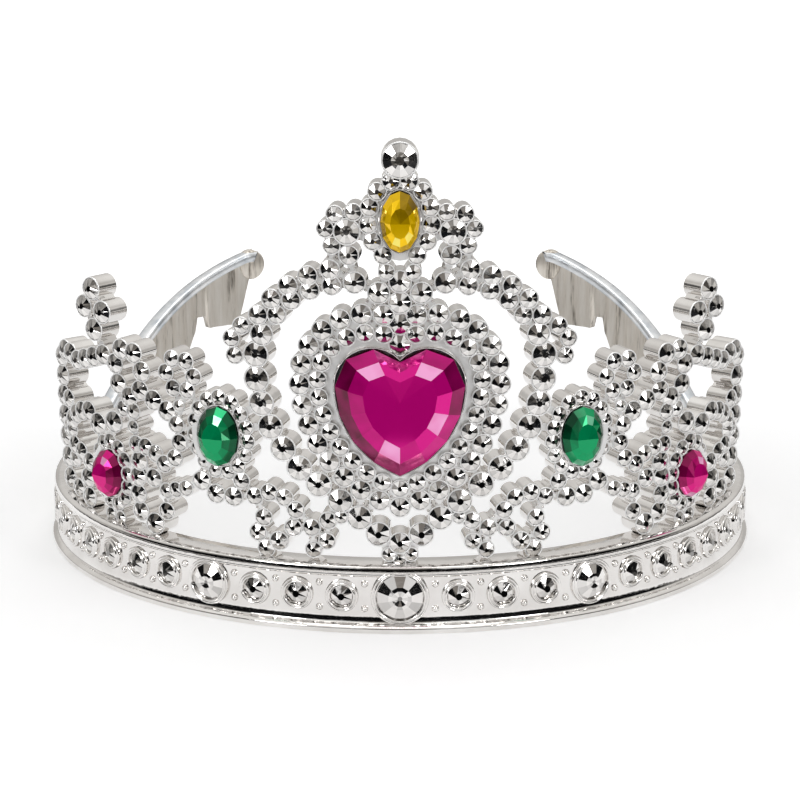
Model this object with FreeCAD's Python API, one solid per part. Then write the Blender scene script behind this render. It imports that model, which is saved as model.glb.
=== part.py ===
import FreeCAD, Part
import math, os
from FreeCAD import Vector

# A dress-up tiara, injection moulded in one piece and chrome plated, with six faceted acrylic gems
# glued on. The moulding is an open headband: a strip set with moulded stones, two arms that sweep up
# and back over the ears, and a pierced wall of faceted beads that stands on the strip.
# Frame: the wearer looks along -Y, +Z is up, and the origin is under the middle of the bounding box.

# Headband strip, measured from the axis of its circle
FACE_RADIUS = 74.4        # recessed face that carries the stones
BAND_HEIGHT = 13.5
BAND_WALL = 1.8
BAND_REACH = 98.0         # degrees each side of the middle where the strip turns into an arm
SHELF_DEPTH = 5.9         # top shelf, front to back
SHELF_THICK = 1.7
RIM_PROUD = 0.8           # how far the two rims stand out of the face
RIM_HEIGHT = 1.6
FOOT_PROUD = 1.5          # foot of the strip
FOOT_HEIGHT = 0.9

# Stones moulded on the strip, in rings that stand out of the face
STONE_HEIGHT_ON_BAND = 7.1
CENTRE_STONE = 11.2
SIDE_STONE = 9.2
SMALL_STONE = 6.4
STONE_GAP = 2.45          # along the strip, between two stones
STONE_PROUD = 1.0
STONES_BEFORE_SIDE = 3    # small stones between the centre stone and the side stone
STONES_AFTER_SIDE = 8

# Arms: in side view the top edge of the strip follows two arcs
ARM_START = 9.8           # behind the axis
ARM_RISE_RADIUS = 35.3
ARM_RISE_ANGLE = 48.0
ARM_CREST_RADIUS = 116.0
ARM_END_ANGLE = 30.0
RISE_STEPS = 5            # straight runs that each arc is cut in
CREST_STEPS = 3
ARM_RIM_HEIGHT = 2.2
ARM_RIM_THICK = 3.4
ARM_END_LEAN = 0.15       # the end edge leans forward as it goes down
NOTCH_FROM_END = 7.6      # comb notch near the tip
NOTCH_WIDTH = 2.4
NOTCH_DEPTH = 5.0
LUG_RADIUS = 3.9
LUG_FORWARD = 1.2         # the lug's centre, forward of the arm's end
LUG_DROP = 3.1            # and below it

# Pierced wall of beads: s runs round the wall from the middle, h is the height above the strip
WALL_SETBACK = 1.6        # bead faces at the strip, behind the strip's face
WALL_FLARE = 0.052        # how much the wall leans out for each millimetre of height
POST_DEPTH = 5.0
POST_EXTRA = 0.35         # the post under a bead is this much wider all round
FACET_HEIGHT = 0.45
DRAW_TURN = 0.72          # a bead faces this share of its own angle round the wall
DRAW_LIMIT = 50.0         # and never turns further than this
SCALLOP = 38.0            # degrees either side of a bead's outer point where its edge is cut
SMALL_BEAD = 4.2          # beads up to this size are hexagons with a flat face
NECK = 1.5                # width of metal between two beads
NECK_SET = 0.7            # and how far behind their faces it lies
LINK_SPAN = 2.6           # rows with beads closer than this are joined
OVERLAP = 0.3             # posts that grow into each other this far need no bar
FLAT_SPAN = 4.0           # rows wider than this follow the wall
ROW_OUT = 0.4             # inner row round the heart stands this far in front of the outer row

# Glued gems
HEART_WIDTH = 24.5
HEART_THICK = 5.0
OVAL_THICK = 3.4
TOP_OVAL = (7.3, 11.5)
GREEN_OVAL = (8.6, 11.8)
PINK_OVAL = (7.8, 9.8)
SEAT_RIM = 0.6            # metal left round a gem
SEAT_OUT = 0.4            # the seat stands this far out of the bead faces
SEAT_POCKET = 0.5
SEAT_ROOT = 1.5           # the seat starts this far inside the plate behind the beads
GEM_PLAY = 0.1

HEART_H = 35.8            # lobe centres of the heart above the strip
TOP_OVAL_H = 67.2
GREEN_S, GREEN_H = 35.6, 23.4
PINK_S, PINK_H = 66.6, 10.2
ROW_GAP = 3.0             # from the heart's edge to the middle of the first row of beads
ROW_STEP = 3.6
RING_GAP = 1.6            # from an oval's edge to the middle of the beads round it

WALL_FACE = FACE_RADIUS - WALL_SETBACK


def solid_from_rings(rings, tip=None):
    """Closed solid through rings of points, back ring first, with a flat or a pointed front."""
    faces = [Part.Face(Part.makePolygon(rings[0] + rings[0][:1]))]
    for low, high in zip(rings, rings[1:]):
        for i in range(len(low)):
            j = (i + 1) % len(low)
            faces.append(Part.Face(Part.makePolygon([low[i], low[j], high[j], high[i], low[i]])))
    top = rings[-1]
    if tip is None:
        faces.append(Part.Face(Part.makePolygon(top + top[:1])))
    else:
        for i in range(len(top)):
            j = (i + 1) % len(top)
            faces.append(Part.Face(Part.makePolygon([top[i], top[j], tip, top[i]])))
    solid = Part.Solid(Part.Shell(faces))
    if solid.Volume < 0:
        solid.reverse()
    return solid


class Seat:
    """A place on the wall with its own axes: across, up and out along the mould's draw."""

    def __init__(self, s, h, azimuth=None, radius=None):
        turn = s / WALL_FACE
        reach = WALL_FACE + WALL_FLARE * h if radius is None else radius
        self.centre = Vector(reach * math.sin(turn), -reach * math.cos(turn), BAND_HEIGHT + h)
        if azimuth is None:
            azimuth = math.copysign(min(abs(math.degrees(turn)) * DRAW_TURN, DRAW_LIMIT), s)
        a = math.radians(azimuth)
        self.out = Vector(math.sin(a), -math.cos(a), 0)
        self.across = Vector(math.cos(a), math.sin(a), 0)
        self.up = Vector(0, 0, 1)

    def at(self, x, z, out=0.0):
        return self.centre + self.across * x + self.up * z + self.out * out

    def ring(self, outline, out):
        return [self.at(x, z, out) for x, z in outline]


def polygon(radius, sides):
    """Regular polygon with a flat side on top."""
    turn = 2 * math.pi / sides
    return [(radius * math.cos(turn * (k + 0.5)), radius * math.sin(turn * (k + 0.5))) for k in range(sides)]


def ellipse(half_width, half_height, sides=12):
    turn = 2 * math.pi / sides
    return [(half_width * math.cos(turn * k), half_height * math.sin(turn * k)) for k in range(sides)]


# Bead layout: a row is a chain of touching beads, each bead being (s, h, size)

class Row:
    """A row of beads, moulded as one scalloped bar; closed when the last bead touches the first."""

    def __init__(self, beads, closed=False, filled=False, out=0.0):
        self.beads = beads
        self.closed = closed
        self.filled = filled
        self.out = out


def dots(*beads):
    """Beads that stand alone."""
    return [Row([bead]) for bead in beads]


def arc(start, end, count, bulge, size):
    """Row of beads evenly spaced from start to end; bulge is how far it bends to its left."""
    (s0, h0), (s1, h1) = start, end
    chord = math.hypot(s1 - s0, h1 - h0)
    along = ((s1 - s0) / chord, (h1 - h0) / chord)
    left = (-along[1], along[0])
    beads = []
    for i in range(count):
        t = i / (count - 1)
        run, rise = t * chord, 0.0
        if bulge:
            radius = chord ** 2 / (8 * abs(bulge)) + abs(bulge) / 2
            half = math.asin(chord / 2 / radius)
            angle = (2 * t - 1) * half
            run = radius * math.sin(angle) + chord / 2
            rise = math.copysign(radius * (math.cos(angle) - math.cos(half)), bulge)
        beads.append((s0 + along[0] * run + left[0] * rise, h0 + along[1] * run + left[1] * rise, size))
    return Row(beads)


def ring(s, h, half_width, half_height, count, size, first=0.0, filled=False):
    """Closed row evenly spaced round an ellipse, from the angle first, in degrees."""
    steps = 720
    path = [(half_width * math.cos(math.radians(first) + 2 * math.pi * k / steps),
             half_height * math.sin(math.radians(first) + 2 * math.pi * k / steps)) for k in range(steps + 1)]
    lengths = [0.0]
    for (x0, z0), (x1, z1) in zip(path, path[1:]):
        lengths.append(lengths[-1] + math.hypot(x1 - x0, z1 - z0))
    beads = []
    for i in range(count):
        want = lengths[-1] * i / count
        k = next(n for n, length in enumerate(lengths) if length >= want)
        beads.append((s + path[k][0], h + path[k][1], size))
    return Row(beads, True, filled)


def fan(s, h, radius, first, step, count, size):
    """Row round part of a circle, at angles first, first + step and so on."""
    angles = [math.radians(first + step * i) for i in range(count)]
    return Row([(s + radius * math.cos(a), h + radius * math.sin(a), size) for a in angles])


# The heart: two round lobes, and sides that are arcs tangent to them
LOBE_CENTRE = HEART_WIDTH * 0.2163
LOBE_RADIUS = HEART_WIDTH / 2 - LOBE_CENTRE
SIDE_RADIUS = HEART_WIDTH * 0.77
SIDE_CENTRE = LOBE_CENTRE - (SIDE_RADIUS - LOBE_RADIUS)


def heart_point(offset, length, start_s):
    """Point on the heart's right half, offset outwards, at a length along it from start_s on its lobe."""
    lobe = LOBE_RADIUS + offset
    side = SIDE_RADIUS + offset
    first = math.acos((start_s - LOBE_CENTRE) / lobe)
    if length < lobe * first:
        a = first - length / lobe
        return LOBE_CENTRE + lobe * math.cos(a), lobe * math.sin(a)
    a = (length - lobe * first) / side
    return SIDE_CENTRE + side * math.cos(a), -side * math.sin(a)


def heart_length(offset, start_s):
    lobe = LOBE_RADIUS + offset
    side = SIDE_RADIUS + offset
    return lobe * math.acos((start_s - LOBE_CENTRE) / lobe) + side * math.acos(-SIDE_CENTRE / side)


def heart_row(offset, start_s, count, size, out):
    """Closed row round the heart: count beads down each side and one under the tip."""
    total = heart_length(offset, start_s)
    right = [heart_point(offset, total * i / count, start_s) for i in range(count)]
    tip = (0.0, heart_point(offset, total, start_s)[1])
    points = [tip] + right[::-1] + [(-x, z) for x, z in right]
    return Row([(x, HEART_H + z, size) for x, z in points], True, True, out)


def heart_outline(offset, steps=11):
    """The whole outline, from the notch round the right lobe to the tip and back."""
    total = heart_length(offset, 0.0)
    right = [heart_point(offset, total * i / steps, 0.0) for i in range(steps + 1)]
    right[0] = (0.0, right[0][1])
    right[-1] = (0.0, right[-1][1])
    return right + [(-x, z) for x, z in reversed(right[1:-1])]


def middle_rows():
    """Rows on the middle line: top ball, ring of the top oval, column, heart rows and the foot of the column."""
    half_width = TOP_OVAL[0] / 2 + RING_GAP + 0.4
    half_height = TOP_OVAL[1] / 2 + RING_GAP + 0.4
    rows = [ring(0, TOP_OVAL_H, half_width, half_height, 13, 3.0, -90.0, True)]
    rows.append(arc((0, TOP_OVAL_H - 11.6), (0, HEART_H + 7.6), 4, 0, 3.8))
    rows.append(heart_row(ROW_GAP + ROW_STEP, 3.0, 14, 3.5, 0.0))
    rows.append(heart_row(ROW_GAP, 2.9, 13, 3.0, ROW_OUT))
    return rows + dots((0, TOP_OVAL_H + 11.6, 6.4), (0, 3.9, 3.8))


def top_motif():
    """Small flower beside the top oval."""
    return [fan(9.5, 65.0, 3.9, 108, -51, 4, 2.8)] + dots((9.5, 65.0, 4.6), (9.2, 60.5, 3.3))


def arch():
    """Double row from the middle to the shoulder, then one row of large beads down to the strip."""
    rows = [arc((12.7, 57.7), (26.6, 48.1), 5, 1.6, 3.3), arc((12.4, 54.6), (22.9, 48.4), 4, 1.3, 3.2)]
    rows += [arc((30.1, 45.7), (31.7, 39.7), 3, 1.4, 2.9), arc((27.3, 40.3), (15.5, 15.3), 7, 3.8, 4.5)]
    rows += [arc((11.4, 12.2), (4.1, 5.7), 3, 0, 4.3), arc((3.85, 53.4), (8.2, 55.3), 2, 0, 3.7)]
    return rows + dots((26.0, 44.4, 4.0))


def foot_scroll():
    """Two-lobed foot beside the arch, with its curl."""
    rows = [arc((13.8, 8.1), (20.8, 6.15), 3, -0.7, 3.0), arc((20.2, 9.8), (28.6, 11.8), 4, 2.0, 3.0)]
    rows += [arc((26.8, 7.7), (26.5, 1.4), 3, 1.5, 3.0), arc((14.1, 3.9), (16.8, 2.0), 2, 0, 2.8)]
    return rows + dots((23.8, 3.2, 3.3), (31.3, 14.6, 2.9))


def green_motif():
    """Ring of the green oval, the flower above it and the chain below."""
    half_width = GREEN_OVAL[0] / 2 + RING_GAP
    half_height = GREEN_OVAL[1] / 2 + RING_GAP
    rows = [ring(GREEN_S, GREEN_H, half_width, half_height, 15, 2.6, 90.0, True)]
    rows += [ring(44.5, 34.3, 3.4, 3.4, 6, 2.9), arc((33.2, 11.15), (40.4, 13.4), 3, -1.1, 3.4)]
    rows += [arc((44.4, 11.15), (49.5, 9.8), 3, 0, 2.7), arc((46.8, 17.0), (45.9, 24.0), 3, 1.0, 3.0)]
    return rows + [arc((48.1, 26.4), (51.7, 28.0), 2, 0, 3.6)]


def side_scroll():
    """Open ring between the green and the pink gem, and the chain that carries it."""
    rows = [ring(58.7, 32.4, 4.2, 5.0, 7, 3.6, -35), arc((57.8, 24.7), (61.0, 24.6), 2, 0, 2.9)]
    rows += [arc((49.7, 15.3), (57.6, 17.9), 4, 1.0, 3.1), arc((56.9, 14.6), (57.4, 4.0), 4, 0.7, 3.5)]
    return rows + dots((52.9, 11.8, 3.3), (49.8, 5.5, 3.1), (53.3, 2.2, 3.9))


def pink_motif():
    """Ring of the pink oval and the scroll that rises over it."""
    half_width = PINK_OVAL[0] / 2 + RING_GAP
    half_height = PINK_OVAL[1] / 2 + RING_GAP
    rows = [ring(PINK_S, PINK_H, half_width, half_height, 13, 2.8, 90.0, True)]
    rows += [arc((64.7, 21.1), (71.0, 19.4), 2, 0, 4.0), arc((75.0, 21.2), (88.6, 14.5), 5, 1.2, 3.6)]
    rows += [arc((85.2, 11.6), (76.6, 10.0), 3, -0.4, 3.4), arc((78.2, 6.2), (78.0, 2.1), 2, 0, 3.7)]
    return rows


def far_scroll():
    """Upper scroll at the side, its four-bead finial and the upright that ends the wall."""
    rows = [arc((66.9, 34.6), (79.0, 31.0), 4, 0, 3.6), arc((83.0, 31.6), (90.5, 29.4), 3, 1.0, 3.8)]
    rows += [ring(69.8, 43.4, 3.6, 4.2, 4, 4.1), arc((90.8, 25.2), (92.0, 2.6), 6, 1.0, 4.0)]
    return rows + [arc((87.0, 21.0), (84.6, 2.4), 4, 0, 3.4)]


def right_rows():
    return (top_motif() + arch() + foot_scroll() + green_motif() + side_scroll() + pink_motif() + far_scroll())


def post_radius(size):
    return size / 2 + POST_EXTRA


class Face:
    """Plane that a row's beads share: it touches the wall at the row's first and last bead."""

    def __init__(self, row):
        spots = [Seat(s, h) for s, h, size in row.beads]
        s = sum(b[0] for b in row.beads) / len(spots)
        h = sum(b[1] for b in row.beads) / len(spots)
        self.seat = Seat(s, h)
        low = min(spots, key=lambda spot: spot.centre.dot(self.seat.across)).centre
        high = max(spots, key=lambda spot: spot.centre.dot(self.seat.across)).centre
        span = Vector(high.x - low.x, high.y - low.y, 0)
        if span.Length > FLAT_SPAN:
            self.seat.across = span.normalize()
        self.seat.centre = self.seat.centre + self.seat.out * row.out
        self.points = []
        for spot in spots:
            away = spot.centre - self.seat.centre
            self.points.append((away.dot(self.seat.across), away.dot(self.seat.up)))


def turned(direction, degrees):
    a = math.radians(degrees)
    x, z = direction
    return x * math.cos(a) - z * math.sin(a), x * math.sin(a) + z * math.cos(a)


def side_scallops(points, radii, closed):
    """Scalloped edge along the left of a row: two points a bead and one in each valley."""
    edge = []
    count = len(points)
    for i in range(count):
        before = points[i - 1] if closed or i else points[i]
        after = points[(i + 1) % count] if closed or i + 1 < count else points[i]
        run = math.hypot(after[0] - before[0], after[1] - before[1])
        normal = (-(after[1] - before[1]) / run, (after[0] - before[0]) / run)
        for degrees in (SCALLOP, -SCALLOP):
            x, z = turned(normal, degrees)
            edge.append((points[i][0] + x * radii[i], points[i][1] + z * radii[i]))
        if closed or i + 1 < count:
            j = (i + 1) % count
            step = math.hypot(points[j][0] - points[i][0], points[j][1] - points[i][1])
            normal = (-(points[j][1] - points[i][1]) / step, (points[j][0] - points[i][0]) / step)
            radius = min(radii[i], radii[j])
            depth = max(NECK / 2, math.sqrt(max(radius ** 2 - step ** 2 / 4, 0)))
            edge.append(((points[i][0] + points[j][0]) / 2 + normal[0] * depth,
                         (points[i][1] + points[j][1]) / 2 + normal[1] * depth))
    return edge


def end_cap(points, radii):
    """Round end of a row, past its last point."""
    (x0, z0), (x1, z1) = points[-2:]
    run = math.hypot(x1 - x0, z1 - z0)
    along = ((x1 - x0) / run, (z1 - z0) / run)
    return [(x1 + x * radii[-1], z1 + z * radii[-1]) for x, z in (turned(along, 18), turned(along, -18))]


def face_of(seat, outlines, out):
    wires = [Part.makePolygon(seat.ring(o, out) + seat.ring(o[:1], out)) for o in outlines]
    return Part.Face(wires)


def row_solid(row):
    """One row of beads as a solid, drawn straight back from its faces."""
    face = Face(row)
    seat, points = face.seat, face.points
    radii = [post_radius(size) for s, h, size in row.beads]
    if len(points) == 1:
        sides = 8 if row.beads[0][2] > SMALL_BEAD else 6
        outlines = [polygon(radii[0] * 1.05, sides)]
    elif row.closed:
        outlines = [side_scallops(points, radii, True)]
        backward = side_scallops(points[::-1], radii[::-1], True)
        outlines = [backward if area(backward) > area(outlines[0]) else outlines[0]] if row.filled else [
            backward, outlines[0]]
        outlines.sort(key=area, reverse=True)
    else:
        there = side_scallops(points, radii, False)
        back = side_scallops(points[::-1], radii[::-1], False)
        outlines = [there + end_cap(points, radii) + back + end_cap(points[::-1], radii[::-1])]
    return face_of(seat, outlines, 0.0).extrude(seat.out * -POST_DEPTH)


def area(outline):
    """Area inside an outline, whichever way round it runs."""
    total = 0.0
    for (x0, z0), (x1, z1) in zip(outline, outline[1:] + outline[:1]):
        total += x0 * z1 - x1 * z0
    return abs(total) / 2


def tips(row):
    """Low faceted point on each large bead of a row."""
    face = Face(row)
    points = []
    for (x, z), (s, h, size) in zip(face.points, row.beads):
        if size > SMALL_BEAD:
            base = [(x + px, z + pz) for px, pz in polygon(size / 2, 6)]
            points.append(solid_from_rings([face.seat.ring(base, -0.1)], face.seat.at(x, z, FACET_HEIGHT)))
    return points


def link_solid(a, b):
    """Bar between two beads of neighbouring rows, a little behind their faces."""
    middle = Seat((a[0] + b[0]) / 2, (a[1] + b[1]) / 2)
    ends = [Seat(p[0], p[1]).centre - middle.centre for p in (a, b)]
    (x0, z0), (x1, z1) = [(e.dot(middle.across), e.dot(middle.up)) for e in ends]
    length = math.hypot(x1 - x0, z1 - z0)
    nx, nz = -(z1 - z0) / length * NECK / 2, (x1 - x0) / length * NECK / 2
    outline = [(x0 + nx, z0 + nz), (x0 - nx, z0 - nz), (x1 - nx, z1 - nz), (x1 + nx, z1 + nz)]
    return solid_from_rings([middle.ring(outline, 0.3 - POST_DEPTH), middle.ring(outline, -NECK_SET)])


def links(rows):
    """Bars that join rows which are near each other, nearest first, until no two are left apart."""
    group = list(range(len(rows)))
    pairs = []
    for i, row in enumerate(rows):
        for j in range(i + 1, len(rows)):
            for a in row.beads:
                for b in rows[j].beads:
                    gap = (Seat(a[0], a[1]).centre - Seat(b[0], b[1]).centre).Length
                    gap -= post_radius(a[2]) + post_radius(b[2])
                    if gap < LINK_SPAN:
                        pairs.append((gap, i, j, a, b))
    bars = []
    for gap, i, j, a, b in sorted(pairs, key=lambda pair: pair[0]):
        if group[i] != group[j]:
            old = group[j]
            group = [group[i] if g == old else g for g in group]
            if gap > -OVERLAP:
                bars.append(link_solid(a, b))
    print("rows", len(rows), "left in", len(set(group)), "groups;", len(bars), "bars")
    return bars


def gem_seat(seat, outer, inner):
    """Raised seat with a shallow pocket for a gem."""
    floor = SEAT_OUT
    lip = SEAT_OUT + SEAT_POCKET
    return solid_from_rings([seat.ring(outer, -SEAT_ROOT), seat.ring(outer, lip),
                             seat.ring(inner, lip), seat.ring(inner, floor)])


def oval_outline(size, extra=0.0):
    return ellipse(size[0] / 2 + extra, size[1] / 2 + extra)


def oval_gem(s, h, size):
    seat = Seat(s, h)
    base = oval_outline(size)
    tiers = [(1.0, 0.0), (1.0, 0.28), (0.8, 0.72), (0.5, 1.0)]
    return solid_from_rings([seat.ring([(x * k, z * k) for x, z in base], SEAT_OUT + OVAL_THICK * t)
                             for k, t in tiers])


def heart_gem():
    seat = Seat(0, HEART_H)
    base = heart_outline(0.0)
    sink = -LOBE_RADIUS * 0.35
    tiers = [(1.0, 0.0), (1.0, 0.26), (0.82, 0.68), (0.55, 1.0)]
    return solid_from_rings([seat.ring([(x * k, sink + (z - sink) * k) for x, z in base], SEAT_OUT + HEART_THICK * t)
                             for k, t in tiers])


def mirrored(shape):
    return shape.mirror(Vector(0, 0, 0), Vector(1, 0, 0))


def revolved(points, reach):
    """Profile of (radius, z) points turned round the axis, reach degrees each side of the front."""
    corners = [Vector(r, 0, z) for r, z in points]
    face = Part.Face(Part.makePolygon(corners + corners[:1]))
    solid = face.revolve(Vector(0, 0, 0), Vector(0, 0, 1), 2 * reach)
    solid.rotate(Vector(0, 0, 0), Vector(0, 0, 1), -90 - reach)
    return solid


def strip():
    """Headband strip: thin wall, top shelf, two rims and a foot."""
    front = FACE_RADIUS + RIM_PROUD
    foot = FACE_RADIUS + FOOT_PROUD
    bevel = RIM_PROUD / 2
    back = FACE_RADIUS - BAND_WALL
    top = BAND_HEIGHT
    under = top - SHELF_THICK
    shelf = front - SHELF_DEPTH
    points = [(back, 0), (foot, 0), (foot, FOOT_HEIGHT), (front, RIM_HEIGHT),
              (FACE_RADIUS, RIM_HEIGHT + bevel), (FACE_RADIUS, top - RIM_HEIGHT - bevel),
              (front, top - RIM_HEIGHT), (front, top), (shelf, top), (shelf, under), (back, under)]
    return revolved(points, BAND_REACH)


def arm_edge(width):
    """Points of the edge that lies this far below the arm's top edge, from the strip to the tip."""
    rise = ARM_RISE_RADIUS + width
    crest = ARM_CREST_RADIUS - width
    turn, end = math.radians(ARM_RISE_ANGLE), math.radians(ARM_END_ANGLE)
    points = []
    for i in range(RISE_STEPS + 1):
        a = turn * i / RISE_STEPS
        points.append(Vector(0, ARM_START + rise * math.sin(a), BAND_HEIGHT - width + rise * (1 - math.cos(a))))
    joint = points[-1]
    for i in range(1, CREST_STEPS + 1):
        a = turn + (end - turn) * i / CREST_STEPS
        points.append(joint + Vector(0, crest * (math.sin(turn) - math.sin(a)),
                                     crest * (math.cos(a) - math.cos(turn))))
    return points


def edge_height(points, y):
    """Height of an edge at y."""
    for a, b in zip(points, points[1:]):
        if a.y <= y <= b.y:
            return a.z + (b.z - a.z) * (y - a.y) / (b.y - a.y)


def side_face(points):
    return Part.Face(Part.makePolygon(points + points[:1]))


def ring_wall(inner, outer, top):
    """Round wall that the side outlines are cut from."""
    return Part.makeCylinder(outer, top).cut(Part.makeCylinder(inner, top))


def side_prism(face):
    """Side outline drawn right through, from one side to the other."""
    span = FACE_RADIUS + 10
    face = face.copy()
    face.translate(Vector(-span, 0, 0))
    return face.extrude(Vector(2 * span, 0, 0))


def box_between(y0, y1, z0, z1):
    span = FACE_RADIUS + 10
    return Part.makeBox(2 * span, y1 - y0, z1 - z0, Vector(-span, y0, z0))


def arms():
    """Both arms, cut from one round wall by their outline in side view."""
    top_edge, low_edge = arm_edge(0.0), arm_edge(BAND_HEIGHT)
    tip = top_edge[-1]
    end_low = tip + Vector(0, -ARM_END_LEAN * 30, -30)
    beyond = side_prism(side_face([tip + Vector(0, 0, 20), tip, end_low, end_low + Vector(0, 60, 0),
                                   tip + Vector(0, 60, 20)]))
    notch_y = tip.y - NOTCH_FROM_END
    notch_z = edge_height(low_edge, notch_y)
    notch = box_between(notch_y - NOTCH_WIDTH / 2, notch_y + NOTCH_WIDTH / 2, notch_z - 8, notch_z + NOTCH_DEPTH)
    web = side_prism(side_face(top_edge + low_edge[::-1])).cut(beyond).cut(notch)
    rim = side_prism(side_face(top_edge + arm_edge(ARM_RIM_HEIGHT)[::-1])).cut(beyond)
    lug_middle = tip - Vector(0, LUG_FORWARD, LUG_DROP)
    lug = side_prism(side_face([lug_middle + Vector(0, x, z) for x, z in polygon(LUG_RADIUS, 10)]))
    height = tip.z + LUG_RADIUS
    front = FACE_RADIUS + RIM_PROUD
    wall = ring_wall(FACE_RADIUS - BAND_WALL, FACE_RADIUS, height).common(web)
    thick = ring_wall(front - ARM_RIM_THICK, front, height)
    behind = box_between(ARM_START, FACE_RADIUS * 2, 0, height)
    return [wall.common(behind), thick.common(rim.fuse(lug))]


def band_stones():
    """Stones in rings, spaced along the strip, as (distance along the strip, size)."""
    stones = [(0.0, CENTRE_STONE)]
    sizes = [SMALL_STONE] * STONES_BEFORE_SIDE + [SIDE_STONE] + [SMALL_STONE] * STONES_AFTER_SIDE
    place, before = 0.0, CENTRE_STONE
    for size in sizes:
        place += before / 2 + STONE_GAP + size / 2
        stones += [(place, size), (-place, size)]
        before = size
    return stones


def band_stone(place, size):
    turn = math.degrees(place / FACE_RADIUS)
    seat = Seat(place * WALL_FACE / FACE_RADIUS, STONE_HEIGHT_ON_BAND - BAND_HEIGHT, turn, FACE_RADIUS)
    outline = polygon(size / 2, 12 if size > SMALL_STONE else 8)
    return solid_from_rings([seat.ring(outline, -BAND_WALL / 2), seat.ring(outline, STONE_PROUD)],
                            seat.at(0, 0, STONE_PROUD + FACET_HEIGHT))


def frame_solid():
    """The whole moulding, fused into one solid."""
    right = right_rows()
    middle = middle_rows()
    half = [row_solid(row) for row in right] + [tip for row in right for tip in tips(row)]
    for s, h, size in ((GREEN_S, GREEN_H, GREEN_OVAL), (PINK_S, PINK_H, PINK_OVAL)):
        half.append(gem_seat(Seat(s, h), oval_outline(size, SEAT_RIM), oval_outline(size, GEM_PLAY)))
    half += links(middle + right)
    half = half[0].multiFuse(half[1:])
    core = [row_solid(row) for row in middle] + [tip for row in middle for tip in tips(row)]
    core.append(gem_seat(Seat(0, TOP_OVAL_H), oval_outline(TOP_OVAL, SEAT_RIM), oval_outline(TOP_OVAL, GEM_PLAY)))
    core.append(gem_seat(Seat(0, HEART_H), heart_outline(SEAT_RIM), heart_outline(GEM_PLAY)))
    core += [band_stone(*stone) for stone in band_stones()]
    whole = strip().multiFuse(arms() + [half, mirrored(half)] + core)
    return whole.removeSplitter()


def main():
    os.makedirs("parts", exist_ok=True)
    frame = frame_solid()
    print("frame solids", len(frame.Solids), "valid", frame.isValid(), "volume", round(frame.Volume))
    green = oval_gem(GREEN_S, GREEN_H, GREEN_OVAL)
    pink = oval_gem(PINK_S, PINK_H, PINK_OVAL)
    nodes = {"tiara_frame": frame, "heart_gem": heart_gem(), "top_oval_gem": oval_gem(0, TOP_OVAL_H, TOP_OVAL),
             "green_oval_gem_left": green, "green_oval_gem_right": mirrored(green),
             "pink_oval_gem_left": pink, "pink_oval_gem_right": mirrored(pink)}
    box = Part.makeCompound(list(nodes.values())).BoundBox
    shift = Vector(-(box.XMin + box.XMax) / 2, -(box.YMin + box.YMax) / 2, -box.ZMin)
    for name, shape in nodes.items():
        shape.translate(shift)
        shape.exportStep("parts/%s.step" % name)
        print(name, shape.ShapeType, len(shape.Solids), len(shape.Faces), [round(v, 2) for v in (
            shape.BoundBox.XMin, shape.BoundBox.YMin, shape.BoundBox.ZMin,
            shape.BoundBox.XMax, shape.BoundBox.YMax, shape.BoundBox.ZMax)])


main()
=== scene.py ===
import math

import bpy
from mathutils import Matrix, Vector


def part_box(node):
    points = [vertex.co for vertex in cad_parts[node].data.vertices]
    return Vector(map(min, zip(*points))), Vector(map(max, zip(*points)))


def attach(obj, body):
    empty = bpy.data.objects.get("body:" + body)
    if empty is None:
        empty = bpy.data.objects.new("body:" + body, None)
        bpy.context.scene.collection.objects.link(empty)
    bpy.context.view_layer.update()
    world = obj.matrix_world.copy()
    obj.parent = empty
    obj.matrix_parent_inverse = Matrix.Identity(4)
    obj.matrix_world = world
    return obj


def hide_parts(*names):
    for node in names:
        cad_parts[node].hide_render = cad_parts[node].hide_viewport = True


bl_info = {
    "name": "Toy tiara",
    "version": (1, 1, 0),
    "blender": (4, 5, 0),
    "location": "View3D > Sidebar > Tiara",
    "description": "Chrome-plated toy tiara with faceted beads and glued gems",
    "category": "Add Mesh",
}

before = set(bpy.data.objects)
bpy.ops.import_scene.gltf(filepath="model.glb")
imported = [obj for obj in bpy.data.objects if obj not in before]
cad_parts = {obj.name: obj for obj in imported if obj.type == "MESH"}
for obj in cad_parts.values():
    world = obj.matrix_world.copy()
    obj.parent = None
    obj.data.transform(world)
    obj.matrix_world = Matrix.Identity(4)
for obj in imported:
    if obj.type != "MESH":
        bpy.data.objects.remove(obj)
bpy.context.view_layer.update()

# Sizes are in millimetres, as in the part, and points become metres when a mesh is made.
MM = 0.001

# Headband strip
FACE_RADIUS = 74.4
BAND_HEIGHT = 13.5
BAND_WALL = 1.8
BAND_REACH = 98.0
SHELF_DEPTH = 5.9
SHELF_THICK = 1.7
RIM_PROUD = 0.8
RIM_HEIGHT = 1.6
FOOT_PROUD = 1.5
FOOT_HEIGHT = 0.9
STONE_HEIGHT_ON_BAND = 7.1
CENTRE_STONE = 11.2
SIDE_STONE = 9.2
SMALL_STONE = 6.4
STONE_GAP = 2.45
STONES_BEFORE_SIDE = 3
STONES_AFTER_SIDE = 8
STUD_RADIUS = 0.7
STUD_OFFSET = 2.5
STRIP_CORNER = 0.25
STRIP_SEGMENTS = 160

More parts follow.
